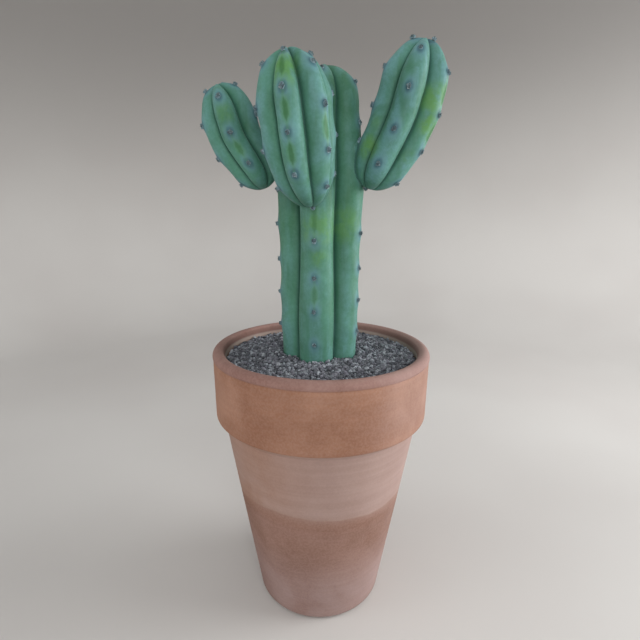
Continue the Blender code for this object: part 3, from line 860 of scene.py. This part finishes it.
def limb(name, ribs, front_rib, per_rib, rings, poles, areoles, wax, dashed, rng):
    """A ball drawn out into a ribbed limb, with what its finish reads at each point."""
    select_nothing()
    segments = ribs * per_rib
    bpy.ops.mesh.primitive_uv_sphere_add(segments=segments, ring_count=len(rings) + 1, radius=1.0)
    piece = bpy.context.object
    piece.name = name
    pitch = 2.0 * math.pi / ribs
    stations = [mix(j / per_rib, 0.5 - 0.5 * math.cos(math.pi * j / per_rib), EVEN_SPACING)
                for j in range(per_rib)]
    crest_lines = [crest_line(rib, front_rib + pitch * rib, rings, areoles, wax,
                              dashed if rib == 0 else dashed * SIDE_RIB_DASHES, rng) for rib in range(ribs)]

    pole_values = {"crest": 0.5, "near": FAR_FROM_AREOLES, "side": FAR_FROM_AREOLES, "bloom": wax}
    values = {key: [0.0] * len(piece.data.vertices) for key in SKIN_VALUES}
    for vertex in piece.data.vertices:
        co = vertex.co
        k = round((0.5 + math.asin(max(-1.0, min(1.0, co.z))) / math.pi) * (len(rings) + 1)) - 1
        if k < 0 or k >= len(rings):
            vertex.co = poles[0] if k < 0 else poles[1]
            found = pole_values
        else:
            j = round((math.atan2(co.x, -co.y) / (2.0 * math.pi)) * segments) % segments
            rib, t = j // per_rib, stations[j % per_rib]
            lengths, spots, dashes = crest_lines[rib]
            s = lengths[k]
            near = min([abs(s - spot) for spot in spots] or [FAR_FROM_AREOLES])
            vertex.co = skin_point(rings[k], front_rib + pitch * (rib + t - 0.5), t, pitch, near)
            found = {"crest": rib_height(t), "near": near, "side": abs(t - 0.5) * pitch * rings[k][4],
                     "bloom": wax, "dash": dashes[sum(1 for spot in spots if spot < s)],
                     "sunny": sunny(vertex.co)}
            if name != "stem":
                found["shade"] = ease(1.0 - k / (SHADED_SHARE * len(rings)))
        for key, value in found.items():
            values[key][vertex.index] = value
    for key, numbers in values.items():
        put_values(piece, key, numbers)
    piece.data.update()
    return piece


def neck(arm):
    """The round stub that joins an arm to the stem."""
    far = curve_point(arm["path"], NECK_AT)
    near = Vector((far.x * NECK_STEM_SHARE, far.y * NECK_STEM_SHARE, far.z))
    aim = (far - near).to_track_quat("Z", "Y").to_euler()
    select_nothing()
    bpy.ops.mesh.primitive_cylinder_add(vertices=24, radius=NECK_R, depth=(far - near).length,
                                        location=(near + far) / 2, rotation=aim)
    bpy.ops.object.transform_apply(location=True, rotation=True, scale=True)
    piece = bpy.context.object
    given = {"near": FAR_FROM_AREOLES, "side": FAR_FROM_AREOLES, "bloom": NECK_BLOOM, "shade": 1.0}
    for key in SKIN_VALUES:
        put_values(piece, key, [given.get(key, 0.0)] * len(piece.data.vertices))
    return piece


def grow_together(stem, parts):
    """One skin from the overlapping limbs. A point takes its finish's values from the nearest old point."""
    points, numbers = [], {key: [] for key in SKIN_VALUES}
    for piece in [stem] + parts:
        points += [vertex.co.copy() for vertex in piece.data.vertices]
        for key in SKIN_VALUES:
            numbers[key] += [item.value for item in piece.data.attributes[key].data]
    tree = KDTree(len(points))
    for index, point in enumerate(points):
        tree.insert(point, index)
    tree.balance()
    for part in parts:
        select_only(stem)
        union = stem.modifiers.new("union", "BOOLEAN")
        union.operation = "UNION"
        union.solver = "MANIFOLD"
        union.object = part
        bpy.ops.object.modifier_apply(modifier=union.name)
        bpy.data.objects.remove(part, do_unlink=True)
    nearest = [tree.find(vertex.co)[1] for vertex in stem.data.vertices]
    for key in SKIN_VALUES:
        if key in stem.data.attributes:
            stem.data.attributes.remove(stem.data.attributes[key])
        put_values(stem, key, [numbers[key][i] for i in nearest])
    stem.data.shade_smooth()
    return stem


def shape_numbers(piece):
    """A modelled shape's points and faces, for copies."""
    points = np.array([vertex.co[:] for vertex in piece.data.vertices])
    faces = [tuple(polygon.vertices) for polygon in piece.data.polygons]
    bpy.data.objects.remove(piece, do_unlink=True)
    return points, faces


def copies(name, shapes, places):
    """One piece from copies of the shapes: each place is (shape, matrix)."""
    points, faces = [], []
    start = 0
    for which, matrix in places:
        shape_points, shape_faces = shapes[which]
        m = np.array(matrix)
        points.append(shape_points @ m[:3, :3].T + m[:3, 3])
        faces += [tuple(i + start for i in face) for face in shape_faces]
        start += len(shape_points)
    return mesh_piece(name, np.concatenate(points).tolist(), faces)


def basis(outward, along, place, size):
    """A matrix that stands a shape's Z on outward and its Y along, at a place and size."""
    side = along.cross(outward).normalized()
    return matrix_of((side * size[0], along * size[1], outward * size[2], place))


# Areoles: a felt cushion, its wool and its thorns. Hairs and thorns are one shape at two sizes.
FELT_R = 0.0018
FELT_HEIGHT = 0.0015
FELT_STRETCH = 1.3
FELT_SEGMENTS = 12
FELT_RINGS = 8
FELT_FLATNESS = 0.55
FELT_LUMPS = (0.86, 1.10)
FELT_LIFT = 0.0001
AREOLE_SIZES = (0.85, 1.15)
HAIRS = 16
HAIR_LENGTH = 0.0013
HAIR_R = 0.00014
HAIR_SIDES = 5
HAIR_BEND = 0.25
HAIR_BELLY_Z = 0.45
HAIR_BELLY = 1.25
HAIR_REACH = (0.2, 0.9)
HAIR_SPREAD = 0.8
HAIR_SIZES = (0.6, 1.3)
HAIR_LIFT = 0.0003
THORNS = 5
THORN_LENGTH = 0.0021
THORN_R = 0.00015
THORN_JITTER = 0.3
THORN_LEAN = (42, 68)
MIDDLE_LEAN = (0, 18)
THORN_SIZES = (0.5, 1.1)
THORN_RING = 0.45
THORN_LIFT = 0.0004
ANY_TURN = 6.28

# Dried wool and thorns where the arms grew out of the stem
JUNCTION_THORNS = 7
JUNCTION_HAIRS = 14
NORMAL_REACH = 0.0020
JUNCTION_THORN_LENGTH = 1.3 * THORN_LENGTH
JUNCTION_HAIR_LENGTH = 1.6 * HAIR_LENGTH
JUNCTION_SIZES = (0.6, 1.2)
JUNCTION_SCATTER = 0.0009
JUNCTION_SPREAD = 0.7
JUNCTION_DROOP = Vector((0.0, -0.2, -0.8))
JUNCTIONS = ((-0.0080, -0.0500, 0.4127), (-0.0435, -0.0100, 0.4318), (0.0390, -0.0200, 0.4327))


def felt_cushion(rng):
    """A low domed pad, 1 unit in radius, with a tufted surface."""
    select_nothing()
    bpy.ops.mesh.primitive_uv_sphere_add(segments=FELT_SEGMENTS, ring_count=FELT_RINGS, radius=1.0)
    piece = bpy.context.object
    for vertex in piece.data.vertices:
        vertex.co *= rng.uniform(*FELT_LUMPS)
        vertex.co.z *= FELT_FLATNESS
    return shape_numbers(piece)


def hair():
    """A thin tapered hair or thorn, 1 unit long, which bends to one side along its length."""
    select_nothing()
    bpy.ops.mesh.primitive_cone_add(vertices=HAIR_SIDES, radius1=1.0, radius2=0.0, depth=1.0,
                                    location=(0, 0, 0.5))
    piece = bpy.context.object
    bpy.ops.object.transform_apply(location=True, rotation=True, scale=True)
    bpy.ops.object.mode_set(mode="EDIT")
    bpy.ops.mesh.select_all(action="SELECT")
    bpy.ops.mesh.bisect(plane_co=(0, 0, HAIR_BELLY_Z), plane_no=(0, 0, 1))
    bpy.ops.object.mode_set(mode="OBJECT")
    for vertex in piece.data.vertices:
        if abs(vertex.co.z - HAIR_BELLY_Z) < 0.1:
            vertex.co.x *= HAIR_BELLY
            vertex.co.y *= HAIR_BELLY
        vertex.co.y += HAIR_BEND * vertex.co.z ** 2
    return shape_numbers(piece)


def stand(direction, place, thick, length, spin):
    """A matrix that points a hair's Z along a direction."""
    side = direction.orthogonal().normalized()
    side = Matrix.Rotation(spin, 3, direction) @ side
    return basis(direction, side, place, (thick, length, length))


def any_direction(rng):
    return Vector((rng.uniform(-1, 1), rng.uniform(-1, 1), rng.uniform(-1, 1)))


def skin_normal(skin, place):
    """The mean normal of the skin's faces near a place, which is the same in whatever order they come."""
    near = [face.normal for face in skin.data.polygons if (face.center - place).length < NORMAL_REACH]
    return sum(near, Vector((0.0, 0.0, 0.0))).normalized()


def dried_tufts(skin, hairs, thorns, rng):
    """The dried wool and spines of the areoles that the arms grew out of."""
    kinds = ((JUNCTION_THORNS, JUNCTION_THORN_LENGTH, THORN_R, thorns),
             (JUNCTION_HAIRS, JUNCTION_HAIR_LENGTH, HAIR_R, hairs))
    for spot in JUNCTIONS:
        _, root, _, _ = skin.closest_point_on_mesh(Vector(spot))
        facing = (skin_normal(skin, root) + JUNCTION_DROOP).normalized()
        for number, length, thick, found in kinds:
            for _ in range(number):
                scatter = any_direction(rng)
                direction = (facing + scatter * JUNCTION_SPREAD).normalized()
                found.append((0, stand(direction, root + scatter * JUNCTION_SCATTER, thick,
                                       length * rng.uniform(*JUNCTION_SIZES), rng.uniform(0, ANY_TURN))))


def tuft_places(areoles, rng):
    """Places for the cushions, wool and thorns of the areoles, which are (limb, areole) pairs."""
    cushions, hairs, thorns = [], [], []
    for own, (_, point, outward, along) in areoles:
        size = rng.uniform(*AREOLE_SIZES)
        side = along.cross(outward)
        root = point + outward * ((1.0 - SWELL_BASE) * AREOLE_SWELL + FELT_LIFT)
        felt_size = (FELT_R * size, FELT_R * FELT_STRETCH * size, FELT_HEIGHT)
        cushions.append((0, basis(outward, along, root, felt_size)))
        for _ in range(HAIRS):
            a = rng.uniform(0.0, 2.0 * math.pi)
            lean = (along * math.cos(a) * FELT_STRETCH + side * math.sin(a)) * rng.uniform(*HAIR_REACH)
            direction = (outward + lean * HAIR_SPREAD).normalized()
            place = root + lean * FELT_R * HAIR_SPREAD * size + outward * HAIR_LIFT
            hairs.append((0, stand(direction, place, HAIR_R, HAIR_LENGTH * rng.uniform(*HAIR_SIZES),
                                   rng.uniform(0, ANY_TURN))))
        spin = rng.uniform(0.0, 2.0 * math.pi)
        for i in range(THORNS + 1):
            on_ring = i < THORNS
            a = spin + 2.0 * math.pi * i / THORNS + rng.uniform(-THORN_JITTER, THORN_JITTER)
            spread = math.radians(rng.uniform(*(THORN_LEAN if on_ring else MIDDLE_LEAN)))
            lean = along * math.cos(a) + side * math.sin(a)
            direction = (outward * math.cos(spread) + lean * math.sin(spread)).normalized()
            place = root + lean * FELT_R * (THORN_RING if on_ring else 0.0) + outward * THORN_LIFT
            length = THORN_LENGTH * rng.uniform(*THORN_SIZES)
            if not inside_a_limb(place + direction * length, own):
                thorns.append((0, stand(direction, place, THORN_R, length, rng.uniform(0, ANY_TURN))))
    return cushions, hairs, thorns


# Grit

STONE_SHAPES = 10
STONE_STEP = 0.0031
STONE_LAYERS = ((-0.0030, 1.15), (-0.0012, 1.0), (0.0004, 0.95))
STONE_JITTER = 0.4
STONE_ROWS = 0.87
STONE_R = 0.64 * STONE_STEP
STONE_SIZES = (0.7, 0.85, 1.0, 1.0, 1.15, 1.35)
STONE_TILT = 0.9
STONE_LIFT = 0.0009
STONE_KINDS = (0, 0, 1, 1, 1, 2, 2)
STONE_LUMPS = (0.8, 1.2)
STONE_FLATNESS = 0.75
STONE_CUTS = (0.5, 0.7)
STONE_STRETCH = ((0.8, 1.3), (0.8, 1.1), (0.7, 1.0))
STEM_CLEARANCE = 0.8
WALL_CLEARANCE = 0.9
FLAT_SIDES = 3
GRIT_Z = 0.268
GRIT_RISE = 1.6
BED_SIDES = 100
BED_GAP = 0.0006
BED_BASE_Z = SOIL_Z + 0.0005
BED_DROP = 0.003


def stone_shape(rng):
    """An angular chip: a faceted ball squeezed at its points, then cut flat on some sides."""
    select_nothing()
    bpy.ops.mesh.primitive_ico_sphere_add(subdivisions=1, radius=1.0)
    piece = bpy.context.object
    for vertex in piece.data.vertices:
        vertex.co *= rng.uniform(*STONE_LUMPS)
        vertex.co.z *= STONE_FLATNESS
    bpy.ops.object.mode_set(mode="EDIT")
    for _ in range(FLAT_SIDES):
        normal = any_direction(rng).normalized()
        bpy.ops.mesh.select_all(action="SELECT")
        bpy.ops.mesh.bisect(plane_co=normal * rng.uniform(*STONE_CUTS), plane_no=normal, use_fill=True,
                            clear_outer=True)
    bpy.ops.mesh.select_all(action="SELECT")
    bpy.ops.mesh.dissolve_degenerate(threshold=0.05)
    bpy.ops.object.mode_set(mode="OBJECT")
    return shape_numbers(piece)


def stem_reach(angle):
    """How far the stem reaches from its axis at the grit, in a direction."""
    pitch = 2.0 * math.pi / STEM_RIBS
    t = ((angle - STEM_FRONT_RIB) / pitch + 0.5) % 1.0
    return stem_crest(GRIT_Z) * mix(stem_groove(GRIT_Z), 1.0, rib_height(t))


def grit_level(share):
    return mix(GRIT_STEM_Z, GRIT_EDGE_Z, ease(GRIT_RISE * share))


def loose_stone(rng):
    """A chip's size, tilt, lift, shape, kind and stretch."""
    size = STONE_R * rng.choice(STONE_SIZES)
    tilt = Matrix.Rotation(rng.uniform(0, ANY_TURN), 3, "Z")
    for axis in "XY":
        tilt = tilt @ Matrix.Rotation(rng.uniform(-STONE_TILT, STONE_TILT), 3, axis)
    lift = rng.uniform(-STONE_LIFT, STONE_LIFT)
    shape = rng.randrange(STONE_SHAPES)
    kind = rng.choice(STONE_KINDS)
    stretch = Vector([rng.uniform(*span) for span in STONE_STRETCH])
    return size, tilt, lift, shape, kind, stretch


def stone_places(rng):
    """Chips in layers over the ring between the stem and the wall, sorted into three kinds."""
    kinds = ([], [], [])
    wall = inner_radius(GRIT_Z)
    reach = int(MOUTH_R / STONE_STEP) + 1
    for drop, scale in STONE_LAYERS:
        for row in range(-reach, reach + 1):
            for column in range(-reach, reach + 1):
                x = (column + 0.5 * (row % 2)) * STONE_STEP + rng.uniform(-1, 1) * STONE_STEP * STONE_JITTER
                y = row * STONE_STEP * STONE_ROWS + rng.uniform(-1, 1) * STONE_STEP * STONE_JITTER
                size, tilt, lift, shape, kind, stretch = loose_stone(rng)
                size *= scale
                own = stem_reach(math.atan2(x - STEM_AXIS_X, -y))
                from_stem = math.hypot(x - STEM_AXIS_X, y) - own
                if from_stem < size * STEM_CLEARANCE or math.hypot(x, y) > wall - size * WALL_CLEARANCE:
                    continue
                m = (tilt @ Matrix.Diagonal(stretch * size)).to_4x4()
                m.translation = (x, y, grit_level(from_stem / (wall - own)) + drop + lift)
                kinds[kind].append((shape, m))
    return kinds


def make_bed():
    """A dark bed under the chips, painted shade for the gaps between them, as a ring from the soil up to
    just under them.
    """
    angles = [2.0 * math.pi * i / BED_SIDES for i in range(BED_SIDES)]
    off_axis = Vector((STEM_AXIS_X, 0.0, 0.0))
    wall = inner_radius(SOIL_Z) - BED_GAP
    points = []
    for by_stem, z in ((True, BED_BASE_Z), (False, BED_BASE_Z), (False, GRIT_EDGE_Z - BED_DROP),
                       (True, GRIT_STEM_Z - BED_DROP)):
        for angle in angles:
            if by_stem:
                points.append(polar(stem_reach(angle) + BED_GAP, angle, z) + off_axis)
            else:
                points.append(polar(wall, angle, z))
    faces = []
    for a, b in ((0, 1), (1, 2), (2, 3), (3, 0)):
        for i in range(BED_SIDES):
            k = (i + 1) % BED_SIDES
            faces.append((a * BED_SIDES + i, a * BED_SIDES + k, b * BED_SIDES + k, b * BED_SIDES + i))
    piece = mesh_piece("grit_gap_shade", points, faces)
    select_only(piece)
    bpy.ops.object.mode_set(mode="EDIT")
    bpy.ops.mesh.select_all(action="SELECT")
    bpy.ops.mesh.normals_make_consistent(inside=False)
    bpy.ops.object.mode_set(mode="OBJECT")
    return piece


# Stage

STAGE_SIDES = 96
FLOOR_R = 1.1
SWEEP_R = 0.5
SWEEP_STEPS = 10
WALL_LEVELS = (1.0, 1.5)
AIR_GREY = (0.80, 0.80, 0.80, 1.0)
AIR_STRENGTH = 0.52


def make_stage():
    """A pale round floor that sweeps up into a wall on all sides."""
    profile = [(0.02, 0.0), (0.4, 0.0), (0.9, 0.0)]
    profile += arc((FLOOR_R, SWEEP_R), SWEEP_R, -90, 0, SWEEP_STEPS)
    profile += [(FLOOR_R + SWEEP_R, z) for z in WALL_LEVELS]
    select_nothing()
    bpy.ops.mesh.primitive_circle_add(vertices=STAGE_SIDES, radius=profile[0][0], fill_type="NGON")
    floor = bpy.context.object
    bpy.ops.object.mode_set(mode="EDIT")
    bpy.ops.mesh.select_mode(type="EDGE")
    bpy.ops.mesh.select_all(action="DESELECT")
    bpy.ops.mesh.select_non_manifold()
    draw_out(profile, bpy.ops.mesh.extrude_edges_move)
    bpy.ops.object.mode_set(mode="OBJECT")
    floor.name = floor.data.name = "studio_floor"
    floor.data.shade_smooth()
    floor.data.materials.append(make_paper())


def area_light(name, place, target, size, power, spread=180.0):
    data = bpy.data.lights.new(name, "AREA")
    data.shape = "DISK"
    data.size = size
    data.energy = power
    data.spread = math.radians(spread)
    light = new_object(name, data)
    light.location = place
    light.rotation_euler = (Vector(target) - Vector(place)).to_track_quat("-Z", "Y").to_euler()


def make_lights():
    area_light("window", (1.20, 0.00, 0.55), (0.0, 0.0, 0.32), 0.9, 6.5, 120.0)
    area_light("wall_wash", (1.15, 0.30, 0.90), (0.70, 1.50, 0.35), 0.6, 4.5, 130.0)
    area_light("room", (0.25, -1.52, 0.70), (0.0, 0.0, 0.66), 0.9, 8.6)
    area_light("far_wall", (-1.47, -0.45, 0.70), (0.0, 0.0, 0.66), 0.9, 5.2)
    area_light("ceiling", (0.00, -0.40, 1.70), (0.0, 0.0, 0.10), 1.4, 3.0)
    world = bpy.data.worlds.new("studio_air")
    world.use_nodes = True
    air = world.node_tree.nodes["Background"].inputs
    air["Color"].default_value = AIR_GREY
    air["Strength"].default_value = AIR_STRENGTH
    bpy.context.scene.world = world
    bpy.context.scene.view_settings.view_transform = "Standard"


def make_camera():
    forward = Vector((-math.sin(CAMERA_TURN) * math.cos(CAMERA_DOWN),
                      math.cos(CAMERA_TURN) * math.cos(CAMERA_DOWN), -math.sin(CAMERA_DOWN)))
    right = Vector((math.cos(CAMERA_TURN), math.sin(CAMERA_TURN), 0.0))
    up = right.cross(forward)
    c, s = math.cos(CAMERA_ROLL), math.sin(CAMERA_ROLL)
    right, up = right * c + up * s, up * c - right * s
    data = bpy.data.cameras.new("camera")
    data.lens = CAMERA_LENS
    data.sensor_width = 36.0
    data.clip_start = 0.01
    camera = new_object("camera", data)
    camera.matrix_world = matrix_of((right, up, -forward, CAMERA_PLACE))
    bpy.context.scene.camera = camera


make_camera()
make_lights()
make_stage()

settle(turn(pot_profile(), POT_SIDES), "clay_pot", make_clay(), "pot")

skin_rng = random.Random(SEED)
stem_spots = stem_areoles(skin_rng)
arm_spots = {name: arm_areoles(name, arm, skin_rng) for name, arm in ARMS.items()}
shape_rng = random.Random(SEED + 1)
stem_poles = (Vector((STEM_AXIS_X, 0.0, STEM_FOOT_Z)), Vector((STEM_TIP_X, 0.0, STEM_TIP_Z - CROWN_DIMPLE)))
stem = limb("stem", STEM_RIBS, STEM_FRONT_RIB, STEM_POINTS_PER_RIB, stem_rings(), stem_poles, stem_spots,
            STEM_WAX, STEM_DASHED, shape_rng)
tufted = [("stem", areole) for areole in stem_spots]
parts = []
for name, arm in ARMS.items():
    poles = (curve_point(arm["path"], 0.0), Vector(arm["path"][-1]) - arm_axes(arm)[0] * CROWN_DIMPLE)
    parts.append(limb(name, arm["ribs"], arm["front_rib"], ARM_POINTS_PER_RIB, arm_rings(arm), poles,
                      arm_spots[name], arm["wax"], arm["dashed"], shape_rng))
    parts.append(neck(arm))
    tufted += [(name, areole) for areole in arm_spots[name]]
skin = settle(grow_together(stem, parts), "ribbed_limbs", make_skin(), "cactus")

tuft_rng = random.Random(SEED + 2)
cushion_shape = felt_cushion(tuft_rng)
hair_shape = hair()
cushions, hairs, thorns = tuft_places(tufted, tuft_rng)
dried_tufts(skin, hairs, thorns, tuft_rng)
felt = make_felt()
for name, shape, places, finish in (("areole_cushions", cushion_shape, cushions, felt),
                                    ("areole_wool", hair_shape, hairs, felt),
                                    ("short_thorns", hair_shape, thorns, make_thorn())):
    settle(copies(name, [shape], places), name, finish, "cactus")

grit_rng = random.Random(SEED + 3)
stone_shapes = [stone_shape(grit_rng) for _ in range(STONE_SHAPES)]
stone_finishes = (("pale_chips", make_stone("pale_stone", rgb(108, 114, 124), rgb(176, 182, 190))),
                  ("dark_chips", make_stone("dark_stone", rgb(42, 46, 54), rgb(86, 90, 100))),
                  ("plum_chips", make_stone("plum_stone", rgb(76, 76, 88), rgb(126, 126, 138))))
for (name, finish), places in zip(stone_finishes, stone_places(grit_rng)):
    settle(copies(name, stone_shapes, places), name, finish, "gravel")
# Painted shade: a dark bed that shows through the gaps between the chips.
gap_shade = make_stone("dark_gap_shade", rgb(30, 31, 35), rgb(62, 64, 70))
settle(make_bed(), "grit_gap_shade", gap_shade, "gravel")

earth = make_earth()
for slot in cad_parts["soil"].material_slots:
    slot.material = earth
